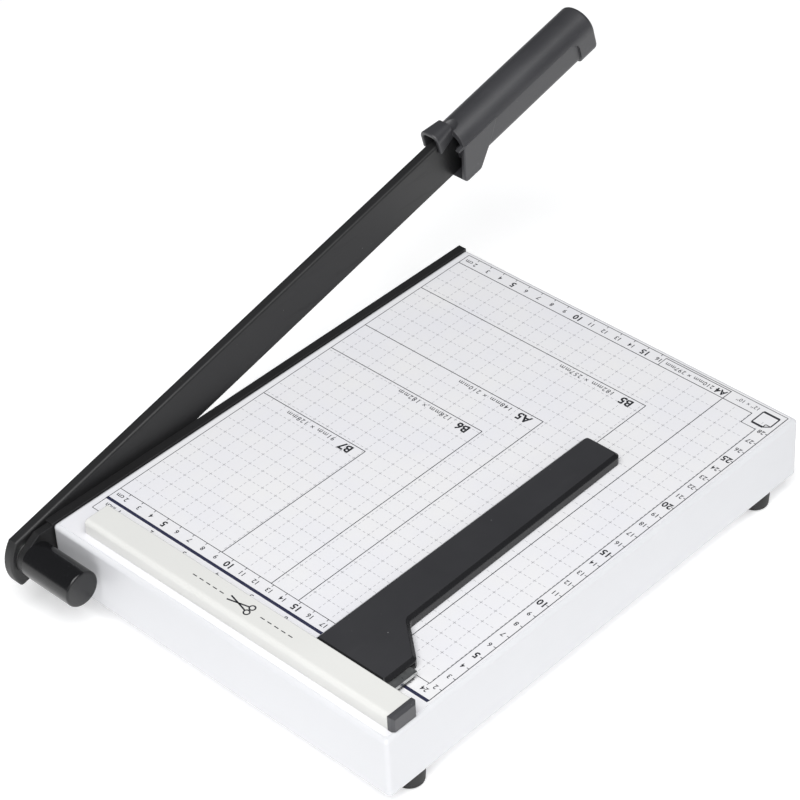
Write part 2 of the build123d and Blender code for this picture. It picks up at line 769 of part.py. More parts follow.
# ---------------------------------------------------------------- sliding paper guide
# A hollow moulding lying on the bed, square to the stop. Its steel shoe runs in the slot of the rail.
guide_front_gap = 0.5
guide_lift = 0.3
guide_wall = 2.0
guide_roof = 1.6
guide_edge_bevel = 2.0
guide_corner_radius = 3.5
shoe_thickness = 2.0
shoe_z = bed_z + slot_bottom + clearance
shoe_depth = 19.0
tongue_reach = 5.0
boss_r = 3.6
guide_screw_r = 1.5
guide_screw_head_r = 2.8
guide_screw_head = 1.5
guide_screw_rise = 3.6
cursor_from = 39.0
cursor_reach = guide_foot_width + 5.0
cursor_depth = 22.5
cursor_thickness = 1.2
guide_right_x = rail_left_x + guide_end_gap + cursor_reach
guide_screw_points = [(guide_right_x - 12.0, -9.0), (guide_right_x - 32.0, -9.0)]

with BuildSketch(Plane.XY.offset(bed_z + guide_lift)) as guide_outline:
    with BuildLine():
        Polyline(
            (guide_right_x, -guide_front_gap),
            (guide_right_x, -guide_length),
            (guide_right_x - guide_tip_width, -guide_length),
            (guide_right_x - guide_arm_width, -42),
            (guide_right_x - guide_foot_width, -24),
            (guide_right_x - guide_foot_width, -guide_front_gap),
            close=True,
        )
    make_face()
    fillet(guide_outline.vertices().sort_by(Axis.Y)[:2], guide_corner_radius)
    fillet(guide_outline.vertices().sort_by(Axis.Y)[-4:-2], 4.0)

with BuildPart() as paper_guide:
    add(guide_outline.sketch)
    extrude(amount=guide_height - guide_lift)
    chamfer(paper_guide.faces().sort_by(Axis.Z)[-1].edges(), guide_edge_bevel)
    with BuildSketch(Plane.XY.offset(bed_z + guide_lift)):
        add(guide_outline.sketch)
        offset(amount=-guide_wall, kind=Kind.INTERSECTION, mode=Mode.REPLACE)
    extrude(amount=guide_height - guide_lift - guide_roof, taper=12, mode=Mode.SUBTRACT)
    with BuildSketch(Plane.XY.offset(shoe_z + shoe_thickness)):
        with Locations(guide_screw_points):
            Circle(boss_r)
    extrude(amount=guide_height + bed_z - shoe_z - shoe_thickness - guide_roof / 2)
    with BuildSketch(Plane.XY.offset(shoe_z + shoe_thickness)):
        with Locations(guide_screw_points):
            Circle(guide_screw_r)
    extrude(amount=guide_screw_rise - shoe_thickness, mode=Mode.SUBTRACT)
    with BuildSketch(Plane.XY.offset(bed_z + guide_lift)):
        with Locations((guide_right_x - cursor_reach / 2 - guide_wall, -cursor_depth / 2)):
            Rectangle(cursor_reach, cursor_depth)
    extrude(amount=shoe_z + shoe_thickness - bed_z - guide_lift, mode=Mode.SUBTRACT)
paper_guide.part.label = "paper_guide"
export_step(paper_guide.part, "parts/paper_guide.step")

with BuildPart() as guide_shoe:
    with BuildSketch(Plane.XY.offset(shoe_z)):
        with Locations((guide_right_x - (guide_wall + cursor_reach) / 2, (tongue_reach - shoe_depth) / 2)):
            Rectangle(cursor_reach - guide_wall, tongue_reach + shoe_depth)
        with Locations(guide_screw_points):
            Circle(guide_screw_r, mode=Mode.SUBTRACT)
    extrude(amount=shoe_thickness)
guide_shoe.part.label = "guide_shoe"
export_step(guide_shoe.part, "parts/guide_shoe.step")

with BuildPart() as guide_cursor:
    with BuildSketch(Plane.XY.offset(shoe_z - cursor_thickness)):
        with BuildLine():
            Polyline(
                (guide_right_x - cursor_from, -1.5),
                (guide_right_x - cursor_from, -cursor_depth),
                (guide_right_x - guide_foot_width, -cursor_depth),
                (guide_right_x - cursor_reach, -cursor_depth + 6),
                (guide_right_x - cursor_reach, -1.5),
                close=True,
            )
        make_face()
    extrude(amount=cursor_thickness)
guide_cursor.part.label = "guide_cursor"
export_step(guide_cursor.part, "parts/guide_cursor.step")

with BuildPart() as guide_screws:
    with BuildSketch(Plane.XY.offset(shoe_z)):
        with Locations(guide_screw_points):
            Circle(guide_screw_head_r)
    extrude(amount=-guide_screw_head)
    with BuildSketch(Plane.XY.offset(shoe_z)):
        with Locations(guide_screw_points):
            Circle(guide_screw_r)
    extrude(amount=guide_screw_rise)
guide_screws.part.label = "guide_screws"
export_step(guide_screws.part, "parts/guide_screws.step")


# ---------------------------------------------------------------- leaf spring that steadies the guide
leaf_span = 30.0
leaf_rise = 1.5
leaf_thickness = 0.4
leaf_height = 1.6
leaf_mid_x = guide_right_x - cursor_reach / 2

with BuildPart() as guide_spring:
    with BuildSketch(Plane.XY.offset(shoe_z + (shoe_thickness - leaf_height) / 2)):
        with BuildLine():
            outer_left = (leaf_mid_x - leaf_span / 2, tongue_reach)
            outer_mid = (leaf_mid_x, tongue_reach + leaf_rise + leaf_thickness)
            outer_right = (leaf_mid_x + leaf_span / 2, tongue_reach)
            inner_left = (leaf_mid_x - leaf_span / 2 + 4, tongue_reach)
            inner_mid = (leaf_mid_x, tongue_reach + leaf_rise)
            inner_right = (leaf_mid_x + leaf_span / 2 - 4, tongue_reach)
            ThreePointArc(outer_left, outer_mid, outer_right)
            Line(outer_right, inner_right)
            ThreePointArc(inner_right, inner_mid, inner_left)
            Line(inner_left, outer_left)
        make_face()
    extrude(amount=leaf_height)
guide_spring.part.label = "guide_spring"
export_step(guide_spring.part, "parts/guide_spring.step")
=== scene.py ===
"""Finishes, printed bed and studio for a guillotine paper cutter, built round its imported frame."""

import math

import bmesh
import bpy
import numpy as np
from mathutils import Matrix, Vector


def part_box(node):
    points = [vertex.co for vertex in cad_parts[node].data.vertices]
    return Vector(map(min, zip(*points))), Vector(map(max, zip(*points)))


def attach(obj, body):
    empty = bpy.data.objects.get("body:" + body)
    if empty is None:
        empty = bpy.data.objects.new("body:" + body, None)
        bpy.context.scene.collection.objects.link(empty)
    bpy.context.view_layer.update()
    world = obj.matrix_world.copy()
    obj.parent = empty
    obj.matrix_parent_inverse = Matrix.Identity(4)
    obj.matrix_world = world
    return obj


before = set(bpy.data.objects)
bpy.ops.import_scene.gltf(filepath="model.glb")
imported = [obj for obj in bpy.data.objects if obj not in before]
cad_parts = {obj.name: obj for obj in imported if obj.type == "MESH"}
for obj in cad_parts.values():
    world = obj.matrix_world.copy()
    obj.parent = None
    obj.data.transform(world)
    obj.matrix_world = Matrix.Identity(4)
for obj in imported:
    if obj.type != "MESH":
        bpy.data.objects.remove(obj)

bl_info = {
    "name": "Guillotine paper cutter",
    "version": (1, 0, 0),
    "blender": (4, 5, 0),
    "location": "3D View > Sidebar > Paper cutter",
    "description": "Finishes, prints and lights a guillotine paper cutter",
    "category": "Object",
}

MM = 0.001
ARM_REST_ANGLE = math.radians(13.75)
LAMPS = (
    ("overhead", (-0.7, 0.5, 1.9), (-0.1, -0.1, 0.0), 2.2, 1.8, 58.0),
    ("camera side", (-1.9, 0.9, 0.8), (-0.1, -0.1, 0.05), 1.6, 1.2, 6.0),
    ("rear side", (0.2, 2.0, 0.7), (-0.1, -0.1, 0.05), 1.6, 1.0, 3.9),
)
FLOOR_REACH = 6.0
FLOOR_DROP = 0.0003
FLOOR_GLOW = 0.34
WORLD_COLOUR = (0.8, 0.83, 0.88, 1.0)
WORLD_STRENGTH = 0.12


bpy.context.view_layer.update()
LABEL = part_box("bed_label")
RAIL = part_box("paper_stop_rail")
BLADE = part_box("fixed_blade")
CUT_X = BLADE[1].x
BED_Z = LABEL[1].z


# ---------------------------------------------------------------- settings shown in the panel
class CutterStudio(bpy.types.PropertyGroup):
    """Camera and floor."""

    camera_place: bpy.props.FloatVectorProperty(
        name="Camera place",
        description="Where the camera stands",
        default=(-0.94825, 0.69523, 1.04656),
        subtype="TRANSLATION",
        unit="LENGTH",
    )
    azimuth: bpy.props.FloatProperty(
        name="Azimuth",
        description="Turn of the camera about the upright",
        default=math.radians(225.69),
        subtype="ANGLE",
    )
    elevation: bpy.props.FloatProperty(
        name="Elevation",
        description="Height of the camera above the horizon",
        default=math.radians(38.73),
        subtype="ANGLE",
    )
    roll: bpy.props.FloatProperty(
        name="Roll",
        description="Turn of the camera about its own line of sight",
        default=math.radians(-3.4),
        subtype="ANGLE",
    )
    lens: bpy.props.FloatProperty(
        name="Lens", description="Focal length on a 36 mm sensor", default=128.66
    )
    floor_colour: bpy.props.FloatVectorProperty(
        name="Floor",
        description="Colour of the floor",
        default=(0.93, 0.93, 0.93),
        subtype="COLOR",
    )


class CutterPrint(bpy.types.PropertyGroup):
    """Sizes of what is printed on the bed."""

    line: bpy.props.FloatProperty(
        name="Line", description="Width of an outline", default=0.5 * MM, unit="LENGTH"
    )
    fine_line: bpy.props.FloatProperty(
        name="Fine line",
        description="Width of a ruler line",
        default=0.42 * MM,
        unit="LENGTH",
    )
    dash: bpy.props.FloatProperty(
        name="Dash line",
        description="Width of a grid dash",
        default=0.29 * MM,
        unit="LENGTH",
    )
    band: bpy.props.FloatProperty(
        name="Stop line",
        description="Width of the dark blue line by the stop",
        default=2.0 * MM,
        unit="LENGTH",
    )
    film: bpy.props.FloatProperty(
        name="Ink",
        description="Height of the ink above the film",
        default=0.02 * MM,
        unit="LENGTH",
    )
    figure: bpy.props.FloatProperty(
        name="Figure",
        description="Height of an ordinary ruler figure",
        default=4.4 * MM,
        unit="LENGTH",
    )
    bold_figure: bpy.props.FloatProperty(
        name="Bold figure",
        description="Height of every fifth ruler figure",
        default=6.0 * MM,
        unit="LENGTH",
    )
    code: bpy.props.FloatProperty(
        name="Size code",
        description="Height of a sheet size code",
        default=8.0 * MM,
        unit="LENGTH",
    )


class CutterColours(bpy.types.PropertyGroup):
    """Colours of the paints, plastics and inks."""

    enamel: bpy.props.FloatVectorProperty(
        name="Base enamel",
        description="Powder coat of the base",
        default=(0.69, 0.695, 0.715),
        subtype="COLOR",
    )
    film: bpy.props.FloatVectorProperty(
        name="Bed film",
        description="Printed film on the bed",
        default=(0.78, 0.78, 0.815),
        subtype="COLOR",
    )
    rail: bpy.props.FloatVectorProperty(
        name="Stop rail",
        description="Moulded stop rail",
        default=(0.715, 0.715, 0.692),
        subtype="COLOR",
    )
    black: bpy.props.FloatVectorProperty(
        name="Black enamel",
        description="Paint of the arm and blade",
        default=(0.012, 0.012, 0.0125),
        subtype="COLOR",
    )
    plastic: bpy.props.FloatVectorProperty(
        name="Black plastic",
        description="Handle, guide and caps",
        default=(0.03, 0.03, 0.033),
        subtype="COLOR",
    )
    ink: bpy.props.FloatVectorProperty(
        name="Ink",
        description="Lines and figures",
        default=(0.012, 0.013, 0.017),
        subtype="COLOR",
    )
    grid_ink: bpy.props.FloatVectorProperty(
        name="Grid ink",
        description="Dashed grid",
        default=(0.27, 0.27, 0.285),
        subtype="COLOR",
    )
    stop_ink: bpy.props.FloatVectorProperty(
        name="Stop line ink",
        description="Dark blue line by the stop",
        default=(0.012, 0.014, 0.04),
        subtype="COLOR",
    )


# ---------------------------------------------------------------- node helpers
def put(tree, kind, inputs=None, **settings):
    """Adds one node, sets its own settings, and feeds each named input a constant or a socket."""
    made = tree.nodes.new(kind)
    for name, value in settings.items():
        setattr(made, name, value)
    for key, value in (inputs or {}).items():
        if isinstance(value, bpy.types.NodeSocket):
            tree.links.new(value, made.inputs[key])
        else:
            made.inputs[key].default_value = value
    return made


def noise(tree, vector, scale, detail=2.0, roughness=0.5):
    """Plain three-dimensional noise, from 0 to 1."""
    made = put(
        tree,
        "ShaderNodeTexNoise",
        {"Vector": vector, "Scale": scale, "Detail": detail, "Roughness": roughness},
    )
    return made.outputs["Fac"]


def ramp(tree, value, low, high, to_low=0.0, to_high=1.0):
    """A value carried from one range to another, held at both ends."""
    made = put(
        tree,
        "ShaderNodeMapRange",
        {
            "Value": value,
            "From Min": low,
            "From Max": high,
            "To Min": to_low,
            "To Max": to_high,
        },
    )
    return made.outputs["Result"]


def maths(tree, operation, a, b=0.5):
    """One arithmetic step."""
    made = put(tree, "ShaderNodeMath", {0: a, 1: b}, operation=operation)
    return made.outputs[0]


def blend_colour(tree, amount, under, over):
    """One colour laid over another by a mask."""
    made = tree.nodes.new("ShaderNodeMix")
    made.data_type = "RGBA"
    for socket, value in ((made.inputs[0], amount), (made.inputs[6], under), (made.inputs[7], over)):
        if isinstance(value, bpy.types.NodeSocket):
            tree.links.new(value, socket)
        else:
            socket.default_value = value
    return made.outputs[2]


def grey(value):
    """An opaque grey."""
    return (value, value, value, 1.0)


def opaque(colour):
    """A colour with full alpha."""
    return (colour[0], colour[1], colour[2], 1.0)


def new_group(name, inputs, outputs):
    """An empty node group with its sockets, and its input and output nodes."""
    tree = bpy.data.node_groups.new(name, "ShaderNodeTree")
    for title, value in inputs:
        socket = tree.interface.new_socket(
            title, in_out="INPUT", socket_type="NodeSocketFloat"
        )
        socket.default_value = value
    for title, kind in outputs:
        tree.interface.new_socket(title, in_out="OUTPUT", socket_type=kind)
    return tree, tree.nodes.new("NodeGroupInput"), tree.nodes.new("NodeGroupOutput")


def surface_grain_group():
    """Skin of a sprayed or moulded surface.

    Height is fine noise plus a third of noise four times as coarse. Tone is slow
    noise, stretched so that most of the surface sits near the middle.
    """
    tree, given, result = new_group(
        "Surface grain",
        [("Fine scale", 900.0), ("Slow scale", 14.0)],
        [("Height", "NodeSocketFloat"), ("Tone", "NodeSocketFloat")],
    )
    place = put(tree, "ShaderNodeTexCoord").outputs["Object"]
    fine = noise(tree, place, given.outputs["Fine scale"], 3.0, 0.55)
    coarse_scale = maths(tree, "MULTIPLY", given.outputs["Fine scale"], 0.25)
    coarse = noise(tree, place, coarse_scale, 1.0)
    height = maths(tree, "ADD", fine, maths(tree, "MULTIPLY", coarse, 0.33))
    slow = noise(tree, place, given.outputs["Slow scale"], 4.0, 0.6)
    tree.links.new(height, result.inputs["Height"])
    tree.links.new(ramp(tree, slow, 0.3, 0.7), result.inputs["Tone"])
    return tree


def edge_wear_group():
    """Mask of sharp edges.

    The surface normal is compared with the normal of the same surface rounded by
    Radius. Where the two part, there is an edge. Slow noise breaks the mask up.
    """
    tree, given, result = new_group(
        "Edge wear and shade",
        [("Radius", 0.0005), ("Patchiness", 0.5)],
        [("Mask", "NodeSocketFloat"), ("Rounded normal", "NodeSocketVector")],
    )
    rounded = put(
        tree, "ShaderNodeBevel", {"Radius": given.outputs["Radius"]}, samples=4
    )
    plain = put(tree, "ShaderNodeNewGeometry").outputs["Normal"]
    dot = put(
        tree,
        "ShaderNodeVectorMath",
        {0: rounded.outputs["Normal"], 1: plain},
        operation="DOT_PRODUCT",
    )
    edge = ramp(tree, dot.outputs["Value"], 0.985, 0.8)
    place = put(tree, "ShaderNodeTexCoord").outputs["Object"]
    patches = ramp(tree, noise(tree, place, 130.0, 4.0, 0.65), 0.42, 0.62)
    kept = maths(tree, "MULTIPLY", patches, given.outputs["Patchiness"])
    whole = maths(tree, "SUBTRACT", 1.0, given.outputs["Patchiness"])
    mask = maths(tree, "MULTIPLY", edge, maths(tree, "ADD", kept, whole))
    tree.links.new(mask, result.inputs["Mask"])
    tree.links.new(rounded.outputs["Normal"], result.inputs["Rounded normal"])
    return tree


def handling_group():
    """Marks of use.

    Specks are the hearts of small cells kept only where fine noise is high. Rubs are
    noise drawn out along Y, kept near its crest, so they look like faint strokes.
    """
    tree, given, result = new_group(
        "Handling marks",
        [("Speck scale", 260.0), ("Rub scale", 40.0)],
        [("Specks", "NodeSocketFloat"), ("Rubs", "NodeSocketFloat")],
    )
    place = put(tree, "ShaderNodeTexCoord").outputs["Object"]
    cells = put(
        tree,
        "ShaderNodeTexVoronoi",
        {"Vector": place, "Scale": given.outputs["Speck scale"]},
    )
    heart = ramp(tree, cells.outputs["Distance"], 0.09, 0.05)
    chosen = ramp(tree, noise(tree, place, 85.0, 1.0), 0.62, 0.66)
    tree.links.new(maths(tree, "MULTIPLY", heart, chosen), result.inputs["Specks"])
    drawn = put(
        tree, "ShaderNodeMapping", {"Vector": place, "Scale": (6.0, 0.35, 6.0)}
    ).outputs["Vector"]
    stroke = noise(tree, drawn, given.outputs["Rub scale"], 5.0, 0.7)
    tree.links.new(ramp(tree, stroke, 0.56, 0.68), result.inputs["Rubs"])
    return tree


def effect(tree, name, **values):
    """Places a shared effect in a material with the material's own values."""
    made = tree.nodes.new("ShaderNodeGroup")
    made.node_tree = bpy.data.node_groups[name]
    for key, value in values.items():
        made.inputs[key.replace("_", " ").capitalize()].default_value = value
    return made.outputs


def new_material(name):
    """An empty material, its node tree and its shader."""
    material = bpy.data.materials.new(name)
    material.use_nodes = True
    tree = material.node_tree
    shader = tree.nodes["Principled BSDF"]
    return material, tree, shader


def wire(tree, shader, **sockets):
    """Feeds the shader's sockets: a constant is set, a socket is linked."""
    for key, value in sockets.items():
        socket = shader.inputs[key.replace("_", " ")]
        if isinstance(value, bpy.types.NodeSocket):
            tree.links.new(value, socket)
        else:
            socket.default_value = value


def relief(tree, height, depth, normal=None):
    """Small surface relief, in metres, on top of the rounded edges."""
    inputs = {"Height": height, "Distance": depth, "Strength": 1.0}
    if normal is not None:
        inputs["Normal"] = normal
    return put(tree, "ShaderNodeBump", inputs).outputs["Normal"]


def coated(name, colour, edge_wear_and_shade_colour, roughness, fine=900.0, depth=4e-6, radius=0.0005,
           wear_and_shade=0.25, tone=0.06, patchiness=0.6, specks=0.0, spread=0.08, index=1.5):
    """A coat or moulding: tone varies slowly, edges turn to another colour, lighter on most pieces and a
    darker painted shade on the paper guide, and the skin is grained.
    """
    material, tree, shader = new_material(name)
    grain = effect(tree, "Surface grain", fine_scale=fine)
    edge = effect(tree, "Edge wear and shade", radius=radius, patchiness=patchiness)
    marks = effect(tree, "Handling marks")
    light = [min(1.0, c * (1 + tone)) for c in colour]
    dark = [c * (1 - tone) for c in colour]
    body = blend_colour(tree, grain["Tone"], opaque(dark), opaque(light))
    # Edge colour: lighter on most pieces; on the paper guide it is darker and is painted shade.
    amount = maths(tree, "MULTIPLY", edge["Mask"], wear_and_shade)
    body = blend_colour(tree, amount, body, opaque(edge_wear_and_shade_colour))
    if specks:
        dust = maths(tree, "MULTIPLY", marks["Specks"], specks)
        body = blend_colour(tree, dust, body, grey(0.45))
    rough = ramp(tree, grain["Tone"], 0.0, 1.0, roughness - spread / 2, roughness + spread / 2)
    rubbed = maths(tree, "MULTIPLY", marks["Rubs"], spread)
    rough = maths(tree, "ADD", rough, rubbed)
    normal = relief(tree, grain["Height"], depth, edge["Rounded normal"])
    wire(tree, shader, Base_Color=body, Roughness=rough, Normal=normal, IOR=index)
    return material


def bright_metal(name, colour, roughness, lines=(1.0, 1.0, 1.0), scale=600.0):
    """Plated or drawn metal: spangled tone, and fine lines along one axis."""
    material, tree, shader = new_material(name)
    grain = effect(tree, "Surface grain", fine_scale=1400.0, slow_scale=120.0)
    edge = effect(tree, "Edge wear and shade", radius=0.0002, patchiness=0.2)
    place = put(tree, "ShaderNodeTexCoord").outputs["Object"]
    drawn = put(tree, "ShaderNodeMapping", {"Vector": place, "Scale": lines}).outputs["Vector"]
    stroke = noise(tree, drawn, scale, 3.0, 0.6)
    dark = [c * 0.82 for c in colour]
    body = blend_colour(tree, grain["Tone"], opaque(dark), opaque(colour))
    rough = ramp(tree, stroke, 0.3, 0.7, roughness - 0.07, roughness + 0.09)
    normal = relief(tree, stroke, 3e-6, edge["Rounded normal"])
    wire(tree, shader, Base_Color=body, Metallic=1.0, Roughness=rough, Normal=normal)
    return material


def bare_edge(material, axis, low, high, across_axis, across_low, across_high):
    """Lays bare ground steel over part of a coat.

    The mask is a band between two planes of a turned frame, times a band of the
    surface normal, so only faces that look that way within the strip are bare.
    """
    tree = material.node_tree
    shader = tree.nodes["Principled BSDF"]
    place = put(tree, "ShaderNodeTexCoord").outputs["Object"]
    along = put(tree, "ShaderNodeVectorMath", {0: place, 1: axis}, operation="DOT_PRODUCT")
    normal = put(tree, "ShaderNodeTexCoord").outputs["Normal"]
    facing = put(tree, "ShaderNodeVectorMath", {0: normal, 1: across_axis}, operation="DOT_PRODUCT")
    jag = noise(tree, place, 900.0, 3.0)
    jagged = maths(tree, "ADD", along.outputs["Value"], ramp(tree, jag, 0.0, 1.0, -0.0002, 0.0002))
    strip = ramp(tree, jagged, low, high)
    looks = ramp(tree, facing.outputs["Value"], across_low, across_high)
    mask = maths(tree, "MULTIPLY", strip, looks)
    drawn = put(tree, "ShaderNodeMapping", {"Vector": place, "Scale": (1.0, 14.0, 1.0)})
    stroke = noise(tree, drawn.outputs["Vector"], 260.0, 4.0, 0.7)
    steel = blend_colour(tree, stroke, grey(0.36), grey(0.62))
    under = shader.inputs["Base Color"].links[0].from_socket
    body = blend_colour(tree, mask, under, steel)
    coat_rough = shader.inputs["Roughness"].links[0].from_socket
    rough = put(tree, "ShaderNodeMix", {0: mask, 2: coat_rough, 3: 0.28}).outputs[0]
    wire(tree, shader, Base_Color=body, Roughness=rough, Metallic=mask)
    return material


def polished_sides(material, colour, gloss):
    """Paints shade onto the faces that don't look up, by darkening their colour, and polishes them.

    The mask rises from none to full as the upright part of the surface normal
    falls from nearly one to six tenths.
    """
    tree = material.node_tree
    shader = tree.nodes["Principled BSDF"]
    normal = put(tree, "ShaderNodeTexCoord").outputs["Normal"]
    upright = put(tree, "ShaderNodeSeparateXYZ", {0: normal}).outputs["Z"]
    mask = ramp(tree, upright, 0.97, 0.6)
    # Painted shade: the colour of the faces that don't look up is darkened.
    body = blend_colour(tree, mask, shader.inputs["Base Color"].links[0].from_socket, opaque(colour))
    matt = shader.inputs["Roughness"].links[0].from_socket
    rough = put(tree, "ShaderNodeMix", {0: mask, 2: matt, 3: gloss}).outputs[0]
    wire(tree, shader, Base_Color=body, Roughness=rough)


def ink_material(name, colour):
    """Printing ink: the density varies a little, as screen printing does."""
    material, tree, shader = new_material(name)
    grain = effect(tree, "Surface grain", fine_scale=2200.0, slow_scale=60.0)
    light = [min(1.0, c * 1.5 + 0.01) for c in colour]
    body = blend_colour(tree, grain["Height"], opaque(colour), opaque(light))
    rough = ramp(tree, grain["Tone"], 0.0, 1.0, 0.42, 0.55)
    normal = relief(tree, grain["Height"], 1e-6)
    wire(tree, shader, Base_Color=body, Roughness=rough, Normal=normal)
    return material


def film_material(name, colour):
    """Laminated print film: faint warm and cool patches, and a very slight ripple under a smooth coat."""
    material, tree, shader = new_material(name)
    grain = effect(tree, "Surface grain", fine_scale=420.0, slow_scale=26.0)
    edge = effect(tree, "Edge wear and shade", radius=0.0002, patchiness=0.1)
    marks = effect(tree, "Handling marks", rub_scale=30.0)
    warm = [min(1.0, colour[0] * 1.025), min(1.0, colour[1] * 1.02), colour[2] * 0.985]
    body = blend_colour(tree, grain["Tone"], opaque(colour), opaque(warm))
    rough = ramp(tree, grain["Tone"], 0.0, 1.0, 0.38, 0.46)
    rough = maths(tree, "ADD", rough, maths(tree, "MULTIPLY", marks["Rubs"], 0.05))
    normal = relief(tree, grain["Height"], 3e-6, edge["Rounded normal"])
    wire(tree, shader, Base_Color=body, Roughness=rough, Normal=normal, Coat_Weight=0.15)
    return material


def smoked_material(name):
    """Smoked clear plastic with a faint moulded ripple."""
    material, tree, shader = new_material(name)
    grain = effect(tree, "Surface grain", fine_scale=300.0, slow_scale=40.0)
    edge = effect(tree, "Edge wear and shade", radius=0.0002, patchiness=0.1)
    body = blend_colour(tree, grain["Tone"], grey(0.22), grey(0.27))
    rough = ramp(tree, grain["Tone"], 0.0, 1.0, 0.1, 0.18)
    normal = relief(tree, grain["Height"], 2e-6, edge["Rounded normal"])
    wire(tree, shader, Base_Color=body, Roughness=rough, Normal=normal)
    wire(tree, shader, Transmission_Weight=0.82, IOR=1.49)
    return material


def dress(names, material):
    """Gives carried-over pieces their finish."""
    for name in names:
        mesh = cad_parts[name].data
        mesh.materials.clear()
        mesh.materials.append(material)


# ---------------------------------------------------------------- mesh helpers
BOX_FACES = np.array(
    [[0, 3, 2, 1], [4, 5, 6, 7], [0, 1, 5, 4], [1, 2, 6, 5], [2, 3, 7, 6], [3, 0, 4, 7]]
)


def bars(starts, ends, widths, low, high):
    """Flat printed bars, one per start and end point, as closed slabs.

    Each bar's direction is end minus start over its length, and its side is that
    direction turned a quarter. The four corners of the slab are the two end points
    plus and minus half the width along the side, at the low and the high level.
    """
    starts, ends = np.asarray(starts, float), np.asarray(ends, float)
    run = ends - starts
    run = run / np.linalg.norm(run, axis=1, keepdims=True)
    side = np.stack([-run[:, 1], run[:, 0]], axis=1) * np.asarray(widths, float).reshape(-1, 1) / 2
    ring = np.stack([starts - side, ends - side, ends + side, starts + side], axis=1)
    count = len(ring)
    bottom = np.concatenate([ring, np.full((count, 4, 1), low)], axis=2)
    top = np.concatenate([ring, np.full((count, 4, 1), high)], axis=2)
    points = np.concatenate([bottom, top], axis=1).reshape(-1, 3)
    faces = (BOX_FACES[None] + 8 * np.arange(count)[:, None, None]).reshape(-1, 4)
    return points, faces


def mesh_object(name, points, faces, body, material):
    """A piece made from arrays, with its finish, riding on its body."""
    mesh = bpy.data.meshes.new(name)
    mesh.from_pydata(points.tolist(), [], faces.tolist())
    mesh.update()
    mesh.materials.append(material)
    made = bpy.data.objects.new(name, mesh)
    bpy.context.scene.collection.objects.link(made)
    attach(made, body)
    return made


def on_bed(u, v):
    """A bed point: u millimetres from the cutting plane, v millimetres from the face of the stop."""
    return np.stack(
        np.broadcast_arrays(CUT_X - np.asarray(u, float) * MM, -np.asarray(v, float) * MM), axis=-1
    )


def lettering(name, texts, body, material, low, high):
    """Figures and codes as one closed mesh.

    Each text is (string, x, y, height, weight, side, spacing): the built-in letter
    shapes, thickened by the weight, filled between the two levels.
    """
    points, loops, firsts, offset, turned = [], [], [], 0, 0
    for words, x, y, height, weight, side, spacing in texts:
        curve = bpy.data.curves.new("words", "FONT")
        curve.body = words
        curve.size = height
        curve.align_x = side
        curve.space_character = spacing
        curve.align_y = "CENTER"
        curve.resolution_u = 2
        curve.offset = weight * height
        curve.extrude = (high - low) / 2
        shape = bpy.data.objects.new("words", curve)
        bpy.context.scene.collection.objects.link(shape)
        bpy.context.view_layer.update()
        mesh = bpy.data.meshes.new_from_object(shape)
        bpy.data.objects.remove(shape)
        place = np.zeros(len(mesh.vertices) * 3)
        mesh.vertices.foreach_get("co", place)
        around = np.zeros(len(mesh.loops), int)
        mesh.loops.foreach_get("vertex_index", around)
        first = np.zeros(len(mesh.polygons), int)
        mesh.polygons.foreach_get("loop_start", first)
        points.append(place.reshape(-1, 3) + np.array([x, y, (low + high) / 2]))
        loops.append(around + offset)
        firsts.append(first + turned)
        offset += len(mesh.vertices)
        turned += len(around)
        bpy.data.meshes.remove(mesh)
    mesh = bpy.data.meshes.new(name)
    mesh.vertices.add(offset)
    mesh.vertices.foreach_set("co", np.concatenate(points).ravel())
    mesh.loops.add(turned)
    mesh.loops.foreach_set("vertex_index", np.concatenate(loops))
    firsts = np.concatenate(firsts)
    mesh.polygons.add(len(firsts))
    mesh.polygons.foreach_set("loop_start", firsts)
    mesh.update(calc_edges=True)
    mesh.materials.append(material)
    made = bpy.data.objects.new(name, mesh)
    bpy.context.scene.collection.objects.link(made)
    weld(made)
    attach(made, body)
    return made


def weld(made):
    """Merges the doubled points of a mesh and turns its faces outwards."""
    work = bmesh.new()
    work.from_mesh(made.data)
    bmesh.ops.remove_doubles(work, verts=work.verts, dist=1e-7)
    bmesh.ops.recalc_face_normals(work, faces=work.faces)
    work.to_mesh(made.data)
    work.free()


# ---------------------------------------------------------------- layout of the printed bed, in millimetres
GRID_PITCH = 10.0
INNER_U = 11.5
OUTER_U = 248.4
BAND_U = 240.4
STOP_V = 10.2
RULE_V = 19.8
FRONT_V = 289.6
EDGE_V = 298.6
A4_BOX_U = (163.7, 210.3)
A4_BOX_V = 297.2
NOTCH = 9.7
NOTCH_U = 230.4
TICK = 1.6
SHEETS = [
    ("B7", 91, 128),
    ("B6", 128, 182),
    ("A5", 148, 210),
    ("B5", 182, 257),
]
A4_SIZE = (210, 297)


def ticks(start_u, start_v, end_u, end_v, width):
    """One row of start, end and width per tick: a single value is repeated along the rows."""
    return np.stack(np.broadcast_arrays(start_u, start_v, end_u, end_v, width), axis=1)


def line_levels(lift=1.0):
    """Lowest and highest level of the ink: from just inside the film to a part of its height above."""
    film = bpy.context.scene.cutter_print.film
    return BED_Z - film, BED_Z + lift * film


class CUTTER_OT_shared_effects(bpy.types.Operator):
    """Builds the shared grain, edge and handling effects"""

    bl_idname = "cutter.shared_effects"
    bl_label = "Shared effects"

    def execute(self, context):
        surface_grain_group()
        edge_wear_group()
        handling_group()
        return {"FINISHED"}


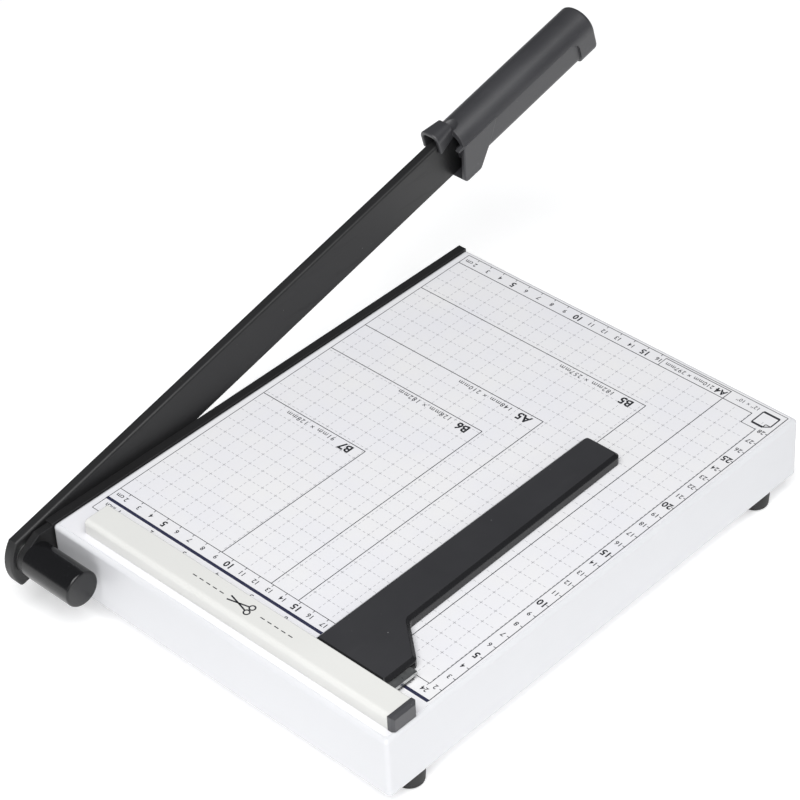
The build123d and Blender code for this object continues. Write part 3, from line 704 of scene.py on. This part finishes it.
class CUTTER_OT_base(bpy.types.Operator):
    """Finishes the base pan, its bed film, the stop rail and the feet"""

    bl_idname = "cutter.base"
    bl_label = "Base, bed and feet"

    def execute(self, context):
        colours = context.scene.cutter_colours
        dress(
            ["base_pan"],
            coated("base enamel", colours.enamel, (0.9, 0.9, 0.92), 0.42, fine=650.0, depth=7e-6,
                   radius=0.0006, wear_and_shade=0.3, tone=0.012, spread=0.05),
        )
        dress(["bed_label"], film_material("bed film", colours.film))
        dress(
            ["paper_stop_rail"],
            coated("stop rail white", colours.rail, (0.93, 0.93, 0.9), 0.4, fine=500.0, depth=4e-6,
                   radius=0.0005, wear_and_shade=0.4, tone=0.015, spread=0.05),
        )
        dress(
            ["foot_rear_right", "foot_rear_left", "foot_front_left", "foot_front_right"],
            coated("foot rubber", (0.022, 0.022, 0.022), (0.06, 0.06, 0.06), 0.72, fine=1500.0,
                   depth=2e-5, radius=0.0006, wear_and_shade=0.5, tone=0.2),
        )
        return {"FINISHED"}


class CUTTER_OT_blades(bpy.types.Operator):
    """Finishes the blade arm, the fixed blade and their screws"""

    bl_idname = "cutter.blades"
    bl_label = "Arm and blades"

    def execute(self, context):
        colours = context.scene.cutter_colours
        arm = coated("arm enamel", colours.black, (0.16, 0.16, 0.165), 0.46, fine=1500.0, depth=7e-6,
                     radius=0.0004, wear_and_shade=0.55, tone=0.16, specks=0.3)
        up = (0.0, math.sin(ARM_REST_ANGLE), math.cos(ARM_REST_ANGLE))
        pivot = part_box("pivot_bush")
        middle = (pivot[0] + pivot[1]) / 2
        height = Vector(up).dot(middle)
        bare_edge(arm, up, height - 0.0088, height - 0.0094, (1.0, -0.2 * up[1], -0.2 * up[2]), 0.3, 0.35)
        dress(["blade_arm"], arm)
        fixed = coated("fixed blade enamel", colours.black, (0.12, 0.12, 0.125), 0.42, fine=1200.0,
                       depth=6e-6, radius=0.0004, wear_and_shade=0.5, tone=0.14, specks=0.2)
        bare_edge(fixed, (0.0, 0.0, 1.0), BED_Z - 0.0062, BED_Z - 0.0058, (1.0, 0.0, 0.0), 0.9, 0.95)
        dress(["fixed_blade"], fixed)
        dress(
            ["fixed_blade_screws", "handle_screws", "pivot_bolt"],
            coated("black screws", (0.02, 0.02, 0.021), (0.3, 0.3, 0.31), 0.35, fine=1800.0,
                   depth=3e-6, radius=0.0003, wear_and_shade=0.5, tone=0.2),
        )
        return {"FINISHED"}


class CUTTER_OT_mouldings(bpy.types.Operator):
    """Finishes the handle, the paper guide, the caps and the cursor"""

    bl_idname = "cutter.mouldings"
    bl_label = "Black mouldings"

    def execute(self, context):
        colours = context.scene.cutter_colours
        dress(
            ["handle"],
            coated("handle plastic", [c * 1.25 for c in colours.plastic], (0.1, 0.1, 0.105), 0.44,
                   fine=2000.0, depth=9e-6, radius=0.0005, wear_and_shade=0.5, tone=0.12, specks=0.25, index=1.66),
        )
        # Painted shade: the guide's edges are darkened nearly all round by the near-black edge colour, in
        # place of the shade on its bevels.
        guide = coated("guide plastic", colours.plastic, (0.006, 0.006, 0.007), 0.44, fine=2400.0,
                       depth=8e-6, radius=0.0008, wear_and_shade=0.95, tone=0.1, patchiness=0.1, specks=0.5)
        # Painted shade: the guide's faces that don't look up are darkened in colour; their extra gloss is
        # real.
        polished_sides(guide, (0.004, 0.004, 0.0045), 0.26)
        dress(["paper_guide"], guide)
        dress(
            ["pivot_cap"],
            coated("cap plastic", [c * 0.25 for c in colours.plastic], (0.16, 0.16, 0.165), 0.2, fine=1600.0,
                   depth=2e-6, radius=0.0006, wear_and_shade=0.35, tone=0.08, specks=0.2),
        )
        dress(
            ["rail_end_cap"],
            coated("end cap plastic", [c * 1.9 for c in colours.plastic], (0.12, 0.12, 0.125), 0.4,
                   fine=1600.0, depth=5e-6, radius=0.0005, wear_and_shade=0.35, tone=0.08, specks=0.2),
        )
        dress(["guide_cursor"], smoked_material("smoked plastic"))
        return {"FINISHED"}


class CUTTER_OT_hardware(bpy.types.Operator):
    """Finishes the nuts, washers, studs, springs and the bush"""

    bl_idname = "cutter.hardware"
    bl_label = "Hardware"

    def execute(self, context):
        dress(
            ["fixed_blade_washers", "fixed_blade_nuts", "rail_screws", "foot_studs", "foot_washers",
             "foot_nuts", "thrust_washer", "spring_seat", "pivot_nut", "guide_shoe", "guide_screws"],
            bright_metal("zinc plate", (0.62, 0.63, 0.62), 0.32),
        )
        dress(
            ["pivot_spring", "guide_spring"],
            bright_metal("spring steel", (0.42, 0.41, 0.4), 0.3, lines=(0.2, 4.0, 4.0)),
        )
        dress(["pivot_bush"], bright_metal("bush brass", (0.72, 0.5, 0.22), 0.3))
        return {"FINISHED"}


class CUTTER_OT_bed_grid(bpy.types.Operator):
    """Prints the dashed centimetre grid with its small crosses"""

    bl_idname = "cutter.bed_grid"
    bl_label = "Bed grid"

    def execute(self, context):
        sizes = context.scene.cutter_print
        low, high = line_levels(0.6)
        dash_from = np.array([-1.2, 2.5, 5.7])
        dash_to = np.array([1.2, 4.3, 7.5])
        starts, ends = [], []
        along_u = np.arange(GRID_PITCH, BAND_U, GRID_PITCH)
        along_v = np.arange(GRID_PITCH, FRONT_V, GRID_PITCH)
        u, v, k = np.meshgrid(along_u, along_v, np.arange(3), indexing="ij")
        a, b = u + dash_from[k], u + dash_to[k]
        keep = (a > INNER_U) & (b < BAND_U) & (v > RULE_V + 1)
        starts.append(on_bed(a[keep], v[keep]))
        ends.append(on_bed(b[keep], v[keep]))
        a, b = v + dash_from[k], v + dash_to[k]
        keep = (a > RULE_V) & (b < FRONT_V) & (u > INNER_U)
        starts.append(on_bed(u[keep], a[keep]))
        ends.append(on_bed(u[keep], b[keep]))
        starts, ends = np.concatenate(starts), np.concatenate(ends)
        points, faces = bars(starts, ends, np.full(len(starts), sizes.dash), low, high)
        material = ink_material("grid ink", context.scene.cutter_colours.grid_ink)
        mesh_object("bed_grid", points, faces, "base", material)
        return {"FINISHED"}


class CUTTER_OT_bed_lines(bpy.types.Operator):
    """Prints the ruler lines, their ticks, the sheet outlines and the dark line by the stop"""

    bl_idname = "cutter.bed_lines"
    bl_label = "Bed lines"

    def execute(self, context):
        sizes = context.scene.cutter_print
        low, high = line_levels()
        thick, thin = sizes.line, sizes.fine_line
        runs = [
            (INNER_U, -0.6, INNER_U, EDGE_V, thin),
            (INNER_U, -0.6, 24.8, -0.6, thin),
            (INNER_U, RULE_V, BAND_U, RULE_V, thin),
            (BAND_U, RULE_V, BAND_U, FRONT_V - NOTCH, thin),
            (INNER_U, FRONT_V, NOTCH_U, FRONT_V, thick),
            (NOTCH_U, FRONT_V, NOTCH_U, FRONT_V - NOTCH, thin),
            (NOTCH_U, FRONT_V - NOTCH, BAND_U, FRONT_V - NOTCH, thin),
            (OUTER_U, STOP_V, OUTER_U, EDGE_V, thick),
            (INNER_U, EDGE_V, OUTER_U, EDGE_V, thin),
            (A4_BOX_U[0], A4_BOX_V, A4_BOX_U[1], A4_BOX_V, thick),
            (A4_SIZE[0], RULE_V, A4_SIZE[0], A4_BOX_V, thick),
            (A4_BOX_U[0], A4_BOX_V, A4_BOX_U[0], FRONT_V, thin),
        ]
        for _, width, length in SHEETS:
            runs.append((width, RULE_V, width, length, thick))
            runs.append((INNER_U, length, width, length, thick))
        runs = np.array(runs)
        across = np.arange(20.0, 245.0, 10.0)
        down = np.arange(20.0, 285.0, 10.0)
        front = np.arange(20.0, 165.0, 10.0)
        runs = np.concatenate([
            runs,
            ticks(across, RULE_V, across, RULE_V - TICK, thin),
            ticks(OUTER_U, down, OUTER_U - TICK, down, thin),
            ticks(front, EDGE_V, front, EDGE_V - TICK, thin),
        ])
        starts, ends = on_bed(runs[:, 0], runs[:, 1]), on_bed(runs[:, 2], runs[:, 3])
        points, faces = bars(starts, ends, runs[:, 4], low, high)
        ink = ink_material("line ink", context.scene.cutter_colours.ink)
        mesh_object("bed_lines", points, faces, "base", ink)
        points, faces = bars(
            on_bed([INNER_U - 0.4], [STOP_V]), on_bed([OUTER_U], [STOP_V]), [sizes.band], low, high
        )
        stop_ink = ink_material("stop line ink", context.scene.cutter_colours.stop_ink)
        mesh_object("stop_line", points, faces, "base", stop_ink)
        return {"FINISHED"}


class CUTTER_OT_bed_figures(bpy.types.Operator):
    """Prints the ruler figures and the sheet sizes"""

    bl_idname = "cutter.bed_figures"
    bl_label = "Bed figures"

    def execute(self, context):
        sizes = context.scene.cutter_print
        low, high = line_levels()
        texts = []

        def add(words, u, v, height, weight=0.012, side="CENTER", spacing=1.0):
            x, y = on_bed(u, v)
            texts.append((words, float(x), float(y), height, weight, side, spacing))

        def add_figure(number, u, v):
            if number % 5 == 0:
                add(str(number), u, v, sizes.bold_figure, 0.03)
            else:
                add(str(number), u, v, sizes.figure)

        for number in range(2, 25):
            add_figure(number, 10.0 * number + 1.0, 15.4)
        for number in range(2, 29):
            add_figure(number, 244.3, 10.0 * number)
        for number in range(2, 17):
            add_figure(number, 10.0 * number + 1.0, 293.8)
        add("cm", 16.0, 15.4, sizes.figure)
        add("cm", 16.0, 293.8, sizes.figure)
        for number in range(1, 10):
            add(str(number), 25.4 * number, 6.0, sizes.figure * 1.1, 0.01)
        add("inch", 18.5, 6.0, sizes.figure)
        for code, width, length in SHEETS:
            add(code, width - 10.6, length - 4.3, sizes.code, 0.03)
            size = f"{width}mm × {length}mm"
            add(size, width - 20.0, length - 3.4, sizes.figure * 1.08, 0.004, "LEFT", 1.2)
        add("A4", 205.6, 293.5, sizes.bold_figure, 0.03)
        add("210mm × 297mm", 200.5, 293.5, sizes.figure, 0.006, "LEFT", 1.1)
        add("12″ × 10″", 224.0, 294.8, sizes.figure * 0.9, 0.004)
        ink = bpy.data.materials["line ink"]
        lettering("bed_figures", texts, "base", ink, low, high)
        return {"FINISHED"}


def discs(centres, inner, outer, low, high, turns=28):
    """Flat printed rings: at each centre, two circles of points at two levels, joined round.

    A point is the centre plus the radius times cosine and sine of an angle that runs
    once round. Four faces join each step of the ring to the next.
    """
    centres = np.asarray(centres, float)
    angle = np.linspace(0, 2 * np.pi, turns, endpoint=False)
    circle = np.stack([np.cos(angle), np.sin(angle)], axis=1)
    rings = [(inner, low), (outer, low), (outer, high), (inner, high)]
    layers = []
    for radius, level in rings:
        flat = centres[:, None] + radius * circle
        layers.append(np.concatenate([flat, np.full((len(centres), turns, 1), level)], axis=2))
    points = np.stack(layers, axis=1).reshape(-1, 3)
    step = np.arange(turns)
    after = (step + 1) % turns
    faces = []
    for k in range(4):
        here, there = k * turns, (k + 1) % 4 * turns
        faces.append(np.stack([here + step, here + after, there + after, there + step], 1))
    faces = np.concatenate(faces)[None] + 4 * turns * np.arange(len(centres))[:, None, None]
    return points, faces.reshape(-1, 4)


class CUTTER_OT_marks(bpy.types.Operator):
    """Prints the plain cut-here mark on the stop rail and the sheet sign in the bed's corner"""

    bl_idname = "cutter.marks"
    bl_label = "Plain signs"

    def execute(self, context):
        low, high = line_levels()
        rise = RAIL[1].z - BED_Z
        ink = bpy.data.materials["line ink"]
        middle = np.array([-120.0, 8.0]) * MM
        reach, open_up = 9.0 * MM, 2.1 * MM
        tips = middle + np.array([[reach, open_up * 0.8], [reach, -open_up * 0.8]])
        eyes = middle + np.array([[-reach * 0.45, -open_up * 0.75], [-reach * 0.45, open_up * 0.75]])
        blades, blade_faces = bars(eyes, tips, [0.95 * MM, 0.95 * MM], low + rise, high + rise)
        loops = eyes + np.array([[-2.0 * MM, -0.5 * MM], [-2.0 * MM, 0.5 * MM]])
        rings, ring_faces = discs(loops, 1.25 * MM, 2.1 * MM, low + rise, high + rise)
        left, right = np.arange(-157.0, -133.0, 5.0), np.arange(-107.0, -83.0, 5.0)
        dash_x = np.concatenate([left, right]) * MM
        dash_y = np.full(len(dash_x), middle[1])
        starts = np.stack([dash_x, dash_y], 1)
        widths = np.full(len(starts), 0.6 * MM)
        dashes, dash_faces = bars(starts, starts + [3.0 * MM, 0.0], widths, low + rise, high + rise)
        points = np.concatenate([blades, rings, dashes])
        after_rings = len(blades) + len(rings)
        faces = np.concatenate([blade_faces, ring_faces + len(blades), dash_faces + after_rings])
        mesh_object("rail_cut_sign", points, faces, "base", ink)

        u = np.array([234.6, 245.6, 245.6, 242.2, 234.6])
        v = np.array([294.8, 294.8, 286.6, 283.8, 283.8])
        ring = on_bed(u, v)
        fold = on_bed([242.2, 242.2], [283.8, 286.6]), on_bed([242.2, 245.6], [286.6, 286.6])
        starts = np.concatenate([ring, [fold[0][0], fold[1][0]]])
        ends = np.concatenate([np.roll(ring, -1, axis=0), [fold[0][1], fold[1][1]]])
        widths = np.array([1.5, 0.8, 0.8, 1.5, 0.8, 0.6, 0.6]) * MM
        points, faces = bars(starts, ends, widths, low, high)
        mesh_object("corner_sheet_sign", points, faces, "base", ink)
        return {"FINISHED"}


class CUTTER_OT_stage(bpy.types.Operator):
    """Sets the floor, the lamps and the camera"""

    bl_idname = "cutter.stage"
    bl_label = "Studio"

    def execute(self, context):
        studio = context.scene.cutter_studio
        floor_mesh = bpy.data.meshes.new("floor")
        grid = np.linspace(-FLOOR_REACH, FLOOR_REACH, 5)
        x, y = np.meshgrid(grid, grid, indexing="ij")
        points = np.stack([x.ravel(), y.ravel(), np.full(x.size, -FLOOR_DROP)], axis=1)
        index = np.arange(25).reshape(5, 5)
        faces = np.stack(
            [index[:-1, :-1], index[1:, :-1], index[1:, 1:], index[:-1, 1:]], axis=-1
        ).reshape(-1, 4)
        floor_mesh.from_pydata(points.tolist(), [], faces.tolist())
        floor_mesh.update()
        floor = bpy.data.objects.new("floor", floor_mesh)
        context.scene.collection.objects.link(floor)
        material, tree, shader = new_material("pale floor")
        place = put(tree, "ShaderNodeTexCoord").outputs["Object"]
        body = blend_colour(
            tree, noise(tree, place, 3.0, 2.0), opaque([c * 0.99 for c in studio.floor_colour]),
            opaque(studio.floor_colour),
        )
        wire(tree, shader, Base_Color=body, Roughness=0.7)
        wire(tree, shader, Emission_Color=body, Emission_Strength=FLOOR_GLOW)
        floor_mesh.materials.append(material)

        world = bpy.data.worlds.new("studio")
        world.use_nodes = True
        sky = world.node_tree.nodes["Background"].inputs
        sky["Color"].default_value = WORLD_COLOUR
        sky["Strength"].default_value = WORLD_STRENGTH
        context.scene.world = world

        for settings in LAMPS:
            lamp(*settings)

        camera = bpy.data.cameras.new("camera")
        camera.lens = studio.lens
        camera.sensor_width = 36.0
        camera.clip_start = 0.05
        seen = bpy.data.objects.new("camera", camera)
        context.scene.collection.objects.link(seen)
        a, e, r = studio.azimuth, studio.elevation, studio.roll
        back = Vector((math.sin(a) * math.cos(e), -math.cos(a) * math.cos(e), math.sin(e)))
        right = Vector((0, 0, 1)).cross(back).normalized()
        up = back.cross(right)
        turned_right = math.cos(r) * right + math.sin(r) * up
        turned_up = -math.sin(r) * right + math.cos(r) * up
        turn = Matrix((turned_right, turned_up, back)).transposed()
        seen.matrix_world = Matrix.Translation(studio.camera_place) @ turn.to_4x4()
        context.scene.camera = seen
        context.scene.view_settings.view_transform = "Standard"
        return {"FINISHED"}


def lamp(name, place, target, width, height, power):
    """A soft box at a place, aimed at a target."""
    light = bpy.data.lights.new(name, "AREA")
    light.shape = "RECTANGLE"
    light.size, light.size_y, light.energy = width, height, power
    made = bpy.data.objects.new(name, light)
    bpy.context.scene.collection.objects.link(made)
    aim = Vector(target) - Vector(place)
    made.matrix_world = Matrix.Translation(place) @ aim.to_track_quat("-Z", "Y").to_matrix().to_4x4()


STEPS = (
    CUTTER_OT_shared_effects,
    CUTTER_OT_base,
    CUTTER_OT_blades,
    CUTTER_OT_mouldings,
    CUTTER_OT_hardware,
    CUTTER_OT_bed_grid,
    CUTTER_OT_bed_lines,
    CUTTER_OT_bed_figures,
    CUTTER_OT_marks,
    CUTTER_OT_stage,
)


class CUTTER_PT_panel(bpy.types.Panel):
    """Lists the steps and settings of the paper cutter"""

    bl_label = "Paper cutter"
    bl_idname = "CUTTER_PT_panel"
    bl_space_type = "VIEW_3D"
    bl_region_type = "UI"
    bl_category = "Paper cutter"

    def draw(self, context):
        for group in ("cutter_studio", "cutter_print", "cutter_colours"):
            settings = getattr(context.scene, group)
            box = self.layout.box()
            for name in settings.__annotations__:
                box.prop(settings, name)
        for step in STEPS:
            self.layout.operator(step.bl_idname)


GROUPS = (
    (CutterStudio, "cutter_studio"),
    (CutterPrint, "cutter_print"),
    (CutterColours, "cutter_colours"),
)


def register():
    for group, name in GROUPS:
        bpy.utils.register_class(group)
        setattr(bpy.types.Scene, name, bpy.props.PointerProperty(type=group))
    for step in STEPS:
        bpy.utils.register_class(step)
    bpy.utils.register_class(CUTTER_PT_panel)


def unregister():
    bpy.utils.unregister_class(CUTTER_PT_panel)
    for step in reversed(STEPS):
        bpy.utils.unregister_class(step)
    for group, name in reversed(GROUPS):
        delattr(bpy.types.Scene, name)
        bpy.utils.unregister_class(group)


def main():
    """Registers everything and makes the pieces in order."""
    register()
    for step in STEPS:
        family, action = step.bl_idname.split(".")
        getattr(getattr(bpy.ops, family), action)()


if __name__ == "__main__":
    main()
